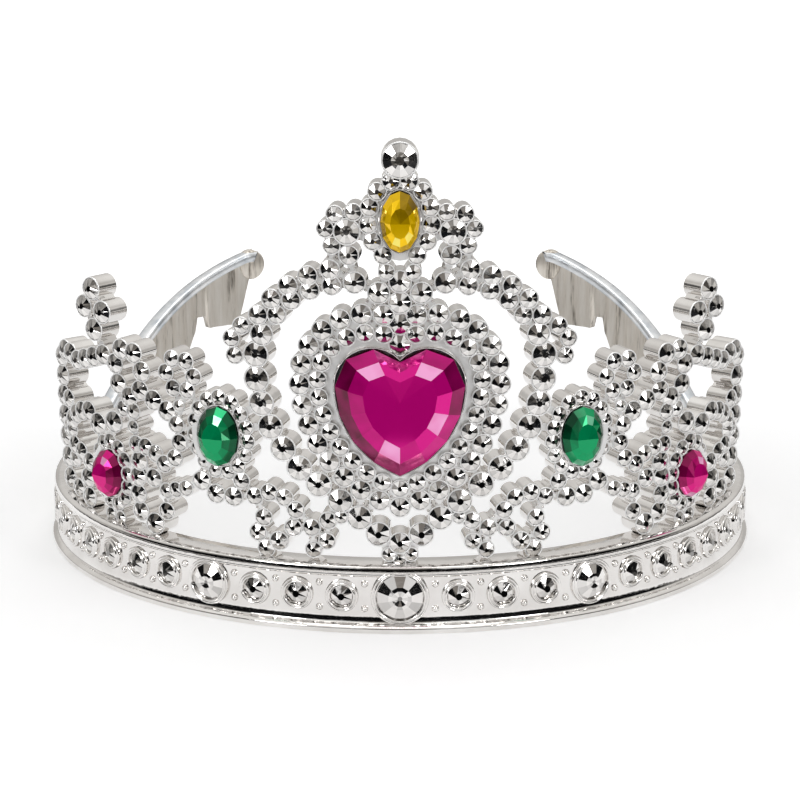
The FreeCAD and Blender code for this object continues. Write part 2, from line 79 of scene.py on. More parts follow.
# Arms
ARM_START = 9.8
ARM_RISE_RADIUS = 35.3
ARM_RISE_ANGLE = 48.0
ARM_CREST_RADIUS = 116.0
ARM_END_ANGLE = 30.0
ARM_RIM_HEIGHT = 2.2
ARM_RIM_THICK = 3.4
ARM_END_LEAN = 0.15
NOTCH_FROM_END = 7.6
NOTCH_WIDTH = 2.4
NOTCH_DEPTH = 3.0
NOTCH_SLOPE = 0.2         # length over which each side of the notch climbs
LUG_RADIUS = 3.5
LUG_HALF_LENGTH = 1.6     # along Y, where the arm turns away from the side view
LUG_BEHIND = 0.6
LUG_DROP = 3.1
LUG_PROUD = 0.5           # how far the lug stands out of each face of the arm
LUG_SIDES = 40
END_EXTRA = 1.2           # how far the arm's face reaches under the lug
TOOTH_Z = 30.9            # bottom of the tooth between the notch and the arm's end
TOOTH_RUN = 2.6           # length over which the lower edge climbs to the tooth
RIB_STEP = 2.4            # degrees between two comb ribs inside an arm
RIB_DEPTH = 0.18
ARM_STATIONS = 120

# Wall of beads
WALL_FACE = FACE_RADIUS - 1.6
WALL_FLARE = 0.052
POST_DEPTH = 5.0
POST_EXTRA = 0.35
DRAW_TURN = 0.72
DRAW_LIMIT = 50.0
WEB_SPAN = 1.2
WEB_WIDTH = 1.5
WEB_SET = 0.7
ROW_OUT = 0.4
PRONG = 0.26
PLATE_MARGIN = 0.3
POST_SIDES = 20
MIDDLE_BEAD = 3.1         # beads above this size have ten facets
LARGE_BEAD = 4.4          # beads above this size have twelve facets in two rings
LIP = 0.26
LARGE_LIP = 0.32

# Gems
HEART_WIDTH = 24.5
HEART_THICK = 5.0
OVAL_THICK = 3.4
TOP_OVAL = (7.3, 11.5)
GREEN_OVAL = (8.6, 11.8)
PINK_OVAL = (7.8, 9.8)
SEAT_RIM = 0.3
SEAT_OUT = 0.4
SEAT_POCKET = 0.5
HEART_H = 35.8
HEART_FACETS = 7          # down each side of the heart
OVAL_FACETS = 12
TOP_OVAL_H = 67.2
TOP_BEAD_RISE = 11.3
GREEN_S, GREEN_H = 35.6, 23.4
PINK_S, PINK_H = 66.6, 10.2
ROW_GAP = 3.0
ROW_STEP = 3.6
RING_GAP = 1.6

# Camera: the photograph's viewpoint, from the axis of the headband's circle
CAMERA_BACK = 550.6
CAMERA_UP = 166.0
CAMERA_PITCH = 14.13
CAMERA_LENS = 117.2

# Where the headband's circle has its middle, behind the front of the heart gem
AXIS_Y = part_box("heart_gem")[0][1] / MM + WALL_FACE + WALL_FLARE * HEART_H + SEAT_OUT + HEART_THICK


def spot(x, y, z):
    """Point in metres from millimetres about the headband's axis."""
    return Vector((x * MM, (y + AXIS_Y) * MM, z * MM))


class Seat:
    """A place on the wall with its own axes: across, up and out along the mould's draw."""

    def __init__(self, s, h, azimuth=None, radius=None):
        turn = s / WALL_FACE
        reach = WALL_FACE + WALL_FLARE * h if radius is None else radius
        self.centre = Vector((reach * math.sin(turn), -reach * math.cos(turn), BAND_HEIGHT + h))
        if azimuth is None:
            azimuth = math.copysign(min(abs(math.degrees(turn)) * DRAW_TURN, DRAW_LIMIT), s)
        a = math.radians(azimuth)
        self.out = Vector((math.sin(a), -math.cos(a), 0))
        self.across = Vector((math.cos(a), math.sin(a), 0))
        self.up = Vector((0, 0, 1))

    def at(self, x, z, out=0.0):
        return self.centre + self.across * x + self.up * z + self.out * out

    def ring(self, outline, out):
        return [self.at(x, z, out) for x, z in outline]


# Bead layout, in (s, h, size): s runs round the wall, h is the height above the strip

def arc(start, end, count, bulge, size):
    (s0, h0), (s1, h1) = start, end
    chord = math.hypot(s1 - s0, h1 - h0)
    along = ((s1 - s0) / chord, (h1 - h0) / chord)
    left = (-along[1], along[0])
    beads = []
    for i in range(count):
        t = i / (count - 1)
        run, rise = t * chord, 0.0
        if bulge:
            radius = chord ** 2 / (8 * abs(bulge)) + abs(bulge) / 2
            half = math.asin(chord / 2 / radius)
            angle = (2 * t - 1) * half
            run = radius * math.sin(angle) + chord / 2
            rise = math.copysign(radius * (math.cos(angle) - math.cos(half)), bulge)
        beads.append((s0 + along[0] * run + left[0] * rise, h0 + along[1] * run + left[1] * rise, size))
    return beads


def ring(s, h, half_width, half_height, count, size, first=0.0):
    steps = 720
    turns = [math.radians(first) + 2 * math.pi * k / steps for k in range(steps + 1)]
    path = [(half_width * math.cos(a), half_height * math.sin(a)) for a in turns]
    lengths = [0.0]
    for (x0, z0), (x1, z1) in zip(path, path[1:]):
        lengths.append(lengths[-1] + math.hypot(x1 - x0, z1 - z0))
    beads = []
    for i in range(count):
        want = lengths[-1] * i / count
        k = next(n for n, length in enumerate(lengths) if length >= want)
        beads.append((s + path[k][0], h + path[k][1], size))
    return beads


def fan(s, h, radius, first, step, count, size):
    angles = [math.radians(first + step * i) for i in range(count)]
    return [(s + radius * math.cos(a), h + radius * math.sin(a), size) for a in angles]


LOBE_CENTRE = HEART_WIDTH * 0.2163
LOBE_RADIUS = HEART_WIDTH / 2 - LOBE_CENTRE
SIDE_RADIUS = HEART_WIDTH * 0.77
SIDE_CENTRE = LOBE_CENTRE - (SIDE_RADIUS - LOBE_RADIUS)


def heart_point(offset, length, start_s):
    lobe = LOBE_RADIUS + offset
    side = SIDE_RADIUS + offset
    first = math.acos((start_s - LOBE_CENTRE) / lobe)
    if length < lobe * first:
        a = first - length / lobe
        return LOBE_CENTRE + lobe * math.cos(a), lobe * math.sin(a)
    a = (length - lobe * first) / side
    return SIDE_CENTRE + side * math.cos(a), -side * math.sin(a)


def heart_length(offset, start_s):
    lobe = LOBE_RADIUS + offset
    side = SIDE_RADIUS + offset
    return lobe * math.acos((start_s - LOBE_CENTRE) / lobe) + side * math.acos(-SIDE_CENTRE / side)


def heart_row(offset, start_s, count, size, out=0.0):
    """Beads down the right side of the heart, without the one under its tip."""
    total = heart_length(offset, start_s)
    points = [heart_point(offset, total * i / count, start_s) for i in range(count)]
    return [(x, HEART_H + z, size, out) for x, z in points]


def heart_outline(offset, steps=24):
    total = heart_length(offset, 0.0)
    right = [heart_point(offset, total * i / steps, 0.0) for i in range(steps + 1)]
    right[0] = (0.0, right[0][1])
    right[-1] = (0.0, right[-1][1])
    return right + [(-x, z) for x, z in reversed(right[1:-1])]


def ellipse(half_width, half_height, sides=40):
    turn = 2 * math.pi / sides
    return [(half_width * math.cos(turn * k), half_height * math.sin(turn * k)) for k in range(sides)]


def middle_beads():
    tip = [(0, HEART_H + heart_point(gap, heart_length(gap, 3.0), 3.0)[1], size)
           for gap, size in ((ROW_GAP, 3.0), (ROW_GAP + ROW_STEP, 3.5))]
    column = arc((0, TOP_OVAL_H - 11.6), (0, HEART_H + 7.6), 4, 0, 3.8)
    return [(0, TOP_OVAL_H + TOP_BEAD_RISE, 6.4), (0, 3.9, 3.8), (0, 0.8, 2.2)] + tip + column


def top_motif():
    half_width = TOP_OVAL[0] / 2 + RING_GAP + 0.4
    half_height = TOP_OVAL[1] / 2 + RING_GAP + 0.4
    rim = ring(0, TOP_OVAL_H, half_width, half_height, 13, 3.0, -90.0)
    beads = [b for b in rim if b[0] > 0.1] + fan(9.5, 65.0, 3.9, 108, -51, 4, 2.8)
    return beads + [(9.5, 65.0, 4.6), (9.2, 60.5, 3.3), (2.4, 57.4, 2.6)]


def arch():
    beads = arc((12.7, 57.7), (26.6, 48.1), 5, 1.6, 3.3) + arc((12.4, 54.6), (22.9, 48.4), 4, 1.3, 3.2)
    beads += arc((30.1, 45.7), (31.7, 39.7), 3, 1.4, 2.9) + arc((27.3, 40.3), (15.5, 15.3), 7, 3.8, 4.5)
    beads += arc((11.4, 12.2), (4.1, 5.7), 3, 0, 4.3) + arc((3.85, 53.4), (8.2, 55.3), 2, 0, 3.7)
    return beads + [(26.0, 44.4, 4.0), (2.1, 1.6, 2.4)]


def heart_motif():
    return heart_row(ROW_GAP, 2.9, 13, 3.0, ROW_OUT) + heart_row(ROW_GAP + ROW_STEP, 3.0, 14, 3.5)


def foot_scroll():
    beads = arc((13.8, 8.1), (20.8, 6.15), 3, -0.7, 3.0) + arc((20.2, 9.8), (28.6, 11.8), 4, 2.0, 3.0)
    beads += arc((26.8, 7.7), (26.5, 1.4), 3, 1.5, 3.0) + arc((14.1, 3.9), (16.8, 2.0), 2, 0, 2.8)
    return beads + [(23.8, 3.2, 3.3), (11.3, 8.9, 2.2), (31.3, 14.6, 2.9)]


def green_motif():
    half_width = GREEN_OVAL[0] / 2 + RING_GAP
    half_height = GREEN_OVAL[1] / 2 + RING_GAP
    beads = ring(GREEN_S, GREEN_H, half_width, half_height, 15, 2.6, 90.0)
    beads += ring(44.5, 34.3, 3.4, 3.4, 6, 2.9) + arc((33.2, 11.15), (40.4, 13.4), 3, -1.1, 3.4)
    beads += arc((44.4, 11.15), (49.5, 9.8), 3, 0, 2.7) + arc((46.8, 17.0), (45.9, 24.0), 3, 1.0, 3.0)
    return beads + arc((48.1, 26.4), (51.7, 28.0), 2, 0, 3.6) + [(45.0, 27.9, 2.0)]


def side_scroll():
    beads = ring(58.7, 32.4, 4.2, 5.0, 7, 3.6, -35) + arc((57.8, 24.7), (61.0, 24.6), 2, 0, 2.9)
    beads += arc((49.7, 15.3), (57.6, 17.9), 4, 1.0, 3.1) + arc((56.9, 14.6), (57.4, 4.0), 4, 0.7, 3.5)
    return beads + [(58.2, 21.4, 2.2), (52.9, 11.8, 3.3), (49.8, 5.5, 3.1), (53.3, 2.2, 3.9)]


def pink_motif():
    half_width = PINK_OVAL[0] / 2 + RING_GAP
    half_height = PINK_OVAL[1] / 2 + RING_GAP
    beads = ring(PINK_S, PINK_H, half_width, half_height, 13, 2.8, 90.0)
    beads += arc((64.7, 21.1), (71.0, 19.4), 2, 0, 4.0) + arc((75.0, 21.2), (88.6, 14.5), 5, 1.2, 3.6)
    beads += arc((85.2, 11.6), (76.6, 10.0), 3, -0.4, 3.4) + arc((78.2, 6.2), (78.0, 2.1), 2, 0, 3.7)
    return beads + [(64.6, 1.0, 2.2), (68.4, 1.0, 2.2)]


def far_scroll():
    beads = arc((66.9, 34.6), (79.0, 31.0), 4, 0, 3.6) + arc((83.0, 31.6), (90.5, 29.4), 3, 1.0, 3.8)
    beads += ring(69.8, 43.4, 3.6, 4.2, 4, 4.1) + arc((90.8, 25.2), (92.0, 2.6), 6, 1.0, 4.0)
    return beads + arc((87.0, 21.0), (84.6, 2.4), 4, 0, 3.4)


def all_beads():
    right = top_motif() + arch() + heart_motif() + foot_scroll() + green_motif()
    right += side_scroll() + pink_motif() + far_scroll()
    beads = middle_beads() + right + [(-b[0],) + b[1:] for b in right]
    return [b if len(b) == 4 else b + (0.0,) for b in beads]


# Mesh building

class Builder:
    """Collects vertices and faces for one object; a face's tone is how bright it is painted, from 0 to 1:
    painted reflections and shade.
    """

    def __init__(self):
        self.points = []
        self.faces = []
        self.smooth = []
        self.slots = []
        self.tones = []

    def add(self, points, faces, smooth=False, slot=0, tones=(1.0,)):
        base = len(self.points)
        self.points += [spot(*p) for p in points]
        for k, face in enumerate(faces):
            self.faces.append([base + i for i in face])
            self.smooth.append(smooth)
            self.slots.append(slot)
            self.tones.append(tones[k % len(tones)])

    def flat_ring(self, low, high, tones=(1.0,)):
        """Open band of flat faces between two rings of points."""
        count = len(low)
        faces = [[i, (i + 1) % count, count + (i + 1) % count, count + i] for i in range(count)]
        self.add(low + high, faces, tones=tones)

    def block(self, low, high):
        """Block between two outlines, with the front face in slot 1, the pale painted highlight of the edges.
        """
        count = len(low)
        self.flat_ring(low, high)
        self.add(low, [list(range(count))[::-1]])
        self.add(high, [list(range(count))], slot=1)

    def smooth_rings(self, rings, slot=0):
        """Open smooth skin through closed rings of points."""
        count = len(rings[0])
        faces = []
        for k in range(len(rings) - 1):
            for i in range(count):
                a, b, j = k * count, (k + 1) * count, (i + 1) % count
                faces.append([a + i, a + j, b + j, b + i])
        self.add([p for r in rings for p in r], faces, True, slot)

    def bar(self, rings, slots):
        """Smooth bar through many sections, capped flat, with a material slot for each side of a section."""
        count = len(rings[0])
        first = len(self.points)
        self.add([p for r in rings for p in r], [])
        for k in range(len(rings) - 1):
            for i in range(count):
                a, b, j = first + k * count, first + (k + 1) * count, (i + 1) % count
                self.faces.append([a + i, a + j, b + j, b + i])
                self.smooth.append(True)
                self.slots.append(slots[i])
                self.tones.append(1.0)
        for ring, flip in ((rings[0], -1), (rings[-1], 1)):
            self.add(ring, [list(range(count))[::flip]])

    def object(self, name, materials):
        mesh = bpy.data.meshes.new(name)
        mesh.from_pydata(self.points, [], self.faces)
        for material in materials:
            mesh.materials.append(material)
        mesh.polygons.foreach_set("use_smooth", self.smooth)
        mesh.polygons.foreach_set("material_index", self.slots)
        # Each face's painted tone, read by the materials as painted reflections and shade
        attribute = mesh.attributes.new("painted_facet_tone", "FLOAT", "FACE")
        attribute.data.foreach_set("value", self.tones)
        mesh.update()
        piece = bpy.data.objects.new(name, mesh)
        bpy.context.scene.collection.objects.link(piece)
        return piece


def circle(radius, sides, phase=0.0):
    turns = [2 * math.pi / sides * (k + phase) for k in range(sides)]
    return [(radius * math.cos(a), radius * math.sin(a)) for a in turns]


# Painted reflections and shade on the plating of each facet of a stone, in turn, and on its small table,
# painted dark
PAINTED_FACET_TONES = (1.0, 0.82, 0.95, 0.68, 1.0, 0.86, 0.74)
PAINTED_TABLE_TONE = 0.35


def stone(builder, seat, radius, sides, phase, floor, tiers, lean=12.0, bright=1.0):
    """Faceted stone: rings of straight facets, each (share of the radius, rise), and a small table.

    The table leans back by a few degrees, so that it shows the painted dark reflection of the room and not
    the paper.
    """
    rings = []
    for share, rise in tiers[:-1]:
        rings.append(seat.ring(circle(radius * share, sides, phase), floor + radius * rise))
    share, rise = tiers[-1]
    slope = math.tan(math.radians(lean))
    table = circle(radius * share, sides, phase)
    rings.append([seat.at(x, z, floor + radius * rise - z * slope) for x, z in table])
    # Each facet's plating is darkened by a painted tone, scaled by bright: painted reflections and shade
    tones = [tone * bright for tone in PAINTED_FACET_TONES]
    for low, high in zip(rings, rings[1:]):
        builder.flat_ring(low, high, tones)
        tones = tones[2:] + tones[:2]
    builder.add(rings[-1], [list(range(sides))], tones=(PAINTED_TABLE_TONE,))


def bead(builder, s, h, size, out, phase):
    """Round post with a thin edge painted bright as a highlight, and a low faceted cone on it."""
    seat = Seat(s, h)
    large = size > LARGE_BEAD
    post = size / 2 + POST_EXTRA
    edge = LIP if size < LARGE_BEAD else LARGE_LIP
    side = [(post, out - POST_DEPTH), (post, out - 0.25)]
    lip = [(post, out - 0.25), (post - 0.15 * edge, out - 0.1), (post - 0.4 * edge, out - 0.02),
           (post - 0.75 * edge, out - 0.02), (post - edge, out - 0.16)]
    builder.smooth_rings([seat.ring(circle(r, POST_SIDES), o) for r, o in side])
    builder.smooth_rings([seat.ring(circle(r, POST_SIDES), o) for r, o in lip], 1)
    builder.add(seat.ring(circle(post, POST_SIDES), out - POST_DEPTH), [list(range(POST_SIDES))[::-1]])
    facets = 12 if large else 10 if size > MIDDLE_BEAD else 8
    tiers = [(1.0, 0.0), (0.52, 0.2), (0.25, 0.24)] if large else [(1.0, 0.0), (0.28, 0.3)]
    stone(builder, seat, post - edge, facets, phase, out - 0.15, tiers)


def web(builder, a, b):
    """Bar of metal between two beads, behind their faces, with a small prong on each side."""
    middle = Seat((a[0] + b[0]) / 2, (a[1] + b[1]) / 2)
    ends = [Seat(p[0], p[1]).centre - middle.centre for p in (a, b)]
    (x0, z0), (x1, z1) = [(e.dot(middle.across), e.dot(middle.up)) for e in ends]
    length = math.hypot(x1 - x0, z1 - z0)
    nx, nz = -(z1 - z0) / length, (x1 - x0) / length
    half = WEB_WIDTH / 2
    outline = [(x0 + nx * half, z0 + nz * half), (x0 - nx * half, z0 - nz * half),
               (x1 - nx * half, z1 - nz * half), (x1 + nx * half, z1 + nz * half)]
    builder.block(middle.ring(outline, 0.4 - POST_DEPTH), middle.ring(outline, -WEB_SET))
    post = min(a[2], b[2]) / 2 + POST_EXTRA
    corner = math.sqrt(max(post ** 2 - length ** 2 / 4, 0.0))
    reach = max(corner + PRONG * 0.6, half * 0.8)
    dome = [(PRONG, -2.0), (PRONG, -WEB_SET + 0.1), (PRONG * 0.75, -WEB_SET + 0.28),
            (PRONG * 0.2, -WEB_SET + 0.36)]
    for side in (1, -1):
        x, z = (x0 + x1) / 2 + side * nx * reach, (z0 + z1) / 2 + side * nz * reach
        rings = [middle.ring([(x + px, z + pz) for px, pz in circle(r, 8)], o) for r, o in dome]
        builder.smooth_rings(rings)


def build_beads():
    builder = Builder()
    beads = all_beads()
    for i, (s, h, size, out) in enumerate(beads):
        bead(builder, s, h, size, out, (i * 0.37) % 1.0)
    places = [Seat(b[0], b[1]).centre for b in beads]
    for i, a in enumerate(beads):
        for j in range(i + 1, len(beads)):
            b = beads[j]
            gap = (places[i] - places[j]).length - (a[2] + b[2]) / 2 - 2 * POST_EXTRA
            if -0.6 < gap < WEB_SPAN:
                web(builder, a, b)
    return builder


def oval_plate(builder, s, h, size):
    seat = Seat(s, h)
    reach = RING_GAP + PLATE_MARGIN
    outline = ellipse(size[0] / 2 + reach, size[1] / 2 + reach, 32)
    builder.block(seat.ring(outline, -POST_DEPTH), seat.ring(outline, -WEB_SET))


def gem_seat(builder, seat, outline_at):
    """Cup with a thin rounded lip; outline_at(extra) gives the gem's outline grown by extra."""
    lip = SEAT_OUT + SEAT_POCKET
    steps = [(SEAT_RIM + 0.1, -WEB_SET - 0.2), (SEAT_RIM + 0.05, lip - 0.2), (SEAT_RIM - 0.06, lip - 0.02),
             (0.14, lip), (0.08, lip - 0.1), (0.08, SEAT_OUT)]
    rings = [seat.ring(outline_at(extra), out) for extra, out in steps]
    builder.smooth_rings(rings[:3])
    # The seat's lip takes slot 1, the pale painted highlight
    builder.smooth_rings(rings[2:], 1)
    builder.add(rings[-1], [list(range(len(rings[-1])))])


def oval_at(size):
    return lambda extra: ellipse(size[0] / 2 + extra, size[1] / 2 + extra)


def heart_plate(builder, steps=8, centre_drop=2.0):
    """Plate between the rows of beads round the heart, bent like the wall: rings about its middle."""
    outline = heart_outline(ROW_GAP + ROW_STEP - 0.2, 40)
    count = len(outline)
    middle = HEART_H - centre_drop
    # The front sheet takes slot 1, the pale painted highlight
    for out, turn, slot in ((-POST_DEPTH, -1, 0), (-WEB_SET, 1, 1)):
        points = []
        for k in range(1, steps + 1):
            share = k / steps
            points += [Seat(x * share, middle + (z + centre_drop) * share).at(0, 0, out) for x, z in outline]
        faces = [list(range(count))[::turn]]
        for k in range(steps - 1):
            for i in range(count):
                a, b, j = k * count, (k + 1) * count, (i + 1) % count
                faces.append([a + i, b + i, b + j, a + j][::turn])
        builder.add(points, faces, True, slot)
    edge = [[Seat(x, HEART_H + z).at(0, 0, out) for x, z in outline] for out in (-POST_DEPTH, -WEB_SET)]
    builder.smooth_rings(edge)


def build_plates():
    builder = Builder()
    for side in (1, -1):
        for s, h, size in ((GREEN_S, GREEN_H, GREEN_OVAL), (PINK_S, PINK_H, PINK_OVAL)):
            oval_plate(builder, side * s, h, size)
            gem_seat(builder, Seat(side * s, h), oval_at(size))
    oval_plate(builder, 0, TOP_OVAL_H, TOP_OVAL)
    gem_seat(builder, Seat(0, TOP_OVAL_H), oval_at(TOP_OVAL))
    heart_plate(builder)
    gem_seat(builder, Seat(0, HEART_H), heart_outline)
    return builder


def turned(radius, degrees, z):
    a = math.radians(degrees)
    return radius * math.sin(a), -radius * math.cos(a), z


def rounded(corners, radius, steps=3):
    """Profile with each corner replaced by a small arc of points."""
    profile = []
    count = len(corners)
    for i in range(count):
        p, q, r = Vector(corners[i - 1]), Vector(corners[i]), Vector(corners[(i + 1) % count])
        to_p, to_r = (p - q), (r - q)
        cut = min(radius, to_p.length * 0.45, to_r.length * 0.45)
        a, b = q + to_p.normalized() * cut, q + to_r.normalized() * cut
        for k in range(steps + 1):
            t = k / steps
            profile.append(tuple((a * (1 - t) + q * t) * (1 - t) + (q * (1 - t) + b * t) * t))
    return profile


def build_strip():
    """Headband strip with its shelf, rims, foot, stones and studs."""
    builder = Builder()
    front = FACE_RADIUS + RIM_PROUD
    foot = FACE_RADIUS + FOOT_PROUD
    back = FACE_RADIUS - BAND_WALL
    top = BAND_HEIGHT
    under = top - SHELF_THICK
    shelf = front - SHELF_DEPTH
    corners = [(back, 0), (foot, 0), (foot, FOOT_HEIGHT + 0.2), (front, RIM_HEIGHT),
               (FACE_RADIUS + 0.27, RIM_HEIGHT + 0.2), (FACE_RADIUS, RIM_HEIGHT + 1.5),
               (FACE_RADIUS, top - RIM_HEIGHT - 0.8), (front - 0.2, top - RIM_HEIGHT - 0.5),
               (front - 0.35, top - RIM_HEIGHT - 0.1), (front, top - RIM_HEIGHT + 0.1),
               (front - 0.24, top - 0.4), (front - 1.1, top), (shelf, top), (shelf, under), (back, under)]
    profile = rounded(corners, STRIP_CORNER)
    rings = []
    for i in range(STRIP_SEGMENTS + 1):
        angle = -BAND_REACH + 2 * BAND_REACH * i / STRIP_SEGMENTS
        rings.append([turned(r, angle, z) for r, z in profile])
    builder.bar(rings, [0] * len(profile))
    places = band_stones()
    for place, size in places:
        band_stone(builder, place, size)
    ordered = sorted(places)
    for (a, size_a), (b, size_b) in zip(ordered, ordered[1:]):
        middle = (a + size_a / 2 + b - size_b / 2) / 2
        for dz in (-STUD_OFFSET, STUD_OFFSET):
            stud(builder, middle, STONE_HEIGHT_ON_BAND + dz)
    return builder


def band_stones():
    stones = [(0.0, CENTRE_STONE)]
    sizes = [SMALL_STONE] * STONES_BEFORE_SIDE + [SIDE_STONE] + [SMALL_STONE] * STONES_AFTER_SIDE
    place, before = 0.0, CENTRE_STONE
    for size in sizes:
        place += before / 2 + STONE_GAP + size / 2
        stones += [(place, size), (-place, size)]
        before = size
    return stones


def band_seat(place, z):
    turn = math.degrees(place / FACE_RADIUS)
    return Seat(place * WALL_FACE / FACE_RADIUS, z - BAND_HEIGHT, turn, FACE_RADIUS)


def band_stone(builder, place, size):
    """Stone in a bezel of two rings."""
    seat = band_seat(place, STONE_HEIGHT_ON_BAND)
    edge = size / 2
    steps = [(edge + 0.1, -0.5), (edge + 0.05, 0.35), (edge - 0.12, 0.6), (edge - 0.35, 0.5),
             (edge - 0.45, 0.42), (edge - 0.55, 0.75), (edge - 0.7, 0.92), (edge - 0.88, 0.8),
             (edge - 1.0, 0.35), (edge - 1.02, 0.1)]
    builder.smooth_rings([seat.ring(circle(r, 36), out) for r, out in steps])
    if size > SMALL_STONE:
        tiers = [(1.0, 0.0), (0.5, 0.2), (0.34, 0.24), (0.1, 0.185)]
        stone(builder, seat, edge - 0.98, 12, 0.5, 0.4, tiers, -10.0, 1.05)
    else:
        stone(builder, seat, edge - 0.98, 10, 0.5, 0.35, [(1.0, 0.0), (0.3, 0.28)])


def stud(builder, place, z):
    seat = band_seat(place, z)
    radius = STUD_RADIUS
    steps = [(radius + 0.1, -0.2), (radius, 0.1), (radius * 0.9, 0.35), (radius * 0.6, 0.55),
             (radius * 0.25, 0.65)]
    builder.smooth_rings([seat.ring(circle(r, 12), out) for r, out in steps])
    builder.add(seat.ring(circle(steps[-1][0], 12), steps[-1][1]), [list(range(12))], True)


def arm_edge(width, rise_steps=20, crest_steps=12):
    rise = ARM_RISE_RADIUS + width
    crest = ARM_CREST_RADIUS - width
    turn, end = math.radians(ARM_RISE_ANGLE), math.radians(ARM_END_ANGLE)
    points = []
    for i in range(rise_steps + 1):
        a = turn * i / rise_steps
        points.append((ARM_START + rise * math.sin(a), BAND_HEIGHT - width + rise * (1 - math.cos(a))))
    y, z = points[-1]
    for i in range(1, crest_steps + 1):
        a = turn + (end - turn) * i / crest_steps
        run, climb = math.sin(turn) - math.sin(a), math.cos(a) - math.cos(turn)
        points.append((y + crest * run, z + crest * climb))
    return points


def edge_height(points, y):
    for (y0, z0), (y1, z1) in zip(points, points[1:]):
        if y0 <= y <= y1:
            return z0 + (z1 - z0) * (y - y0) / (y1 - y0)
    return points[-1][1]


def on_cylinder(side, radius, y, z):
    """Point of the arm's round wall; y is where the plane of the side view cuts its face."""
    angle = math.acos(-y / FACE_RADIUS)
    return side * radius * math.sin(angle), -radius * math.cos(angle), z


def arm_columns():
    """Bottom and top of the arm at each station, from the strip to the slanted end."""
    top_edge, low_edge = arm_edge(0.0), arm_edge(BAND_HEIGHT)
    tip_y, tip_z = top_edge[-1]
    notch = tip_y - NOTCH_FROM_END
    tip_y += END_EXTRA
    stations = []
    for i in range(ARM_STATIONS + 1):
        y = ARM_START + (tip_y - ARM_START) * i / ARM_STATIONS
        low = edge_height(low_edge, y)
        climb = (y - notch + NOTCH_WIDTH / 2 + TOOTH_RUN) / TOOTH_RUN
        low += max(0.0, TOOTH_Z - low) * min(max(climb, 0.0), 1.0)
        inside = NOTCH_WIDTH / 2 - abs(y - notch)
        if inside > 0:
            low += NOTCH_DEPTH * min(1.0, inside / NOTCH_SLOPE)
        end = tip_z - (tip_y - y) / ARM_END_LEAN
        stations.append((y, max(low, end), edge_height(top_edge, y)))
    return stations


def build_arms():
    builder = Builder()
    back, face = FACE_RADIUS - BAND_WALL, FACE_RADIUS
    rim_out = FACE_RADIUS + RIM_PROUD - 0.1
    rim_in = rim_out - ARM_RIM_THICK
    for side in (1, -1):
        rings = []
        for y, low, top in arm_columns():
            ribs = math.degrees(math.acos(-y / FACE_RADIUS)) / RIB_STEP
            inner = back - RIB_DEPTH * (0.5 + 0.5 * math.cos(2 * math.pi * ribs))
            shelf = max(top - ARM_RIM_HEIGHT, low + 0.4)
            corners = [(face, low), (inner, low), (inner, shelf - 0.4), (rim_in, shelf), (rim_in, top - 0.3),
                       (rim_in + 0.5, top), (rim_out - 0.6, top), (rim_out, top - 0.5), (rim_out, shelf),
                       (face, shelf - 0.5)]
            rings.append([on_cylinder(side, r, y, z) for r, z in corners])
        slots = [0, 0, 0, 1, 1, 1, 1, 1, 0, 0]
        if side < 0:
            rings = [r[::-1] for r in rings]
            slots = slots[-2::-1] + slots[-1:]
        builder.bar(rings, slots)
        lug(builder, side)
    return builder


def lug(builder, side):
    """Round lug at the end of the arm."""
    tip_y, tip_z = arm_edge(0.0)[-1]
    rim_out = FACE_RADIUS + LUG_PROUD
    rim_in = FACE_RADIUS - BAND_WALL - LUG_PROUD
    mid_y, mid_z = tip_y + LUG_BEHIND, tip_z - LUG_DROP
    outline = [(y * LUG_HALF_LENGTH, z * LUG_RADIUS) for y, z in circle(1.0, LUG_SIDES)]
    rings = []
    for radius, share in ((rim_in, 0.0), (rim_in, 0.88), (rim_in + 0.4, 1.0), (rim_out - 0.4, 1.0),
                          (rim_out, 0.88), (rim_out, 0.0)):
        rings.append([on_cylinder(side, radius, mid_y + y * share, mid_z + z * share) for y, z in outline])
    builder.smooth_rings(rings if side > 0 else [r[::-1] for r in rings])


# Gems: painted brightness of each facet, from 0 to 1, standing in for its reflections and shade, in turn from
# +X for an oval and from the notch down the right side for the heart

YELLOW_LOWER = (0.35, 0.05, 0.1, 0.3, 0.45, 0.3, 0.15, 0.4, 0.7, 0.3, 0.6, 0.4)
YELLOW_UPPER = (0.5, 0.12, 0.1, 0.6, 0.8, 0.65, 0.45, 0.75, 0.95, 0.6, 0.95, 0.7)
YELLOW_TABLE = (0.2, 0.12, 0.12, 0.15, 0.2, 0.25, 0.65, 0.6, 0.7, 0.7, 0.6, 0.65)
OVAL_LOWER = (0.05, 0.1, 0.35, 0.1, 0.05, 0.05, 0.1, 0.8, 0.95, 0.4, 0.15, 0.05)
OVAL_UPPER = (0.1, 0.3, 1.0, 0.25, 0.12, 0.15, 0.25, 0.5, 0.7, 0.45, 0.25, 0.12)
OVAL_TABLE = (0.32, 0.36, 0.4, 0.4, 0.42, 0.42, 0.6, 0.6, 0.6, 0.55, 0.5, 0.45)
HEART_LOWER = (0.8, 0.25, 0.12, 0.1, 0.3, 0.45, 0.2, 0.15, 0.08, 0.05, 0.05, 0.1, 0.25, 0.8)
HEART_UPPER = (0.5, 1.0, 0.4, 0.65, 0.95, 0.7, 0.3, 0.95, 0.3, 0.25, 0.2, 0.35, 1.0, 0.5)
HEART_TABLE = (0.5,) * 7 + (0.56,) * 7


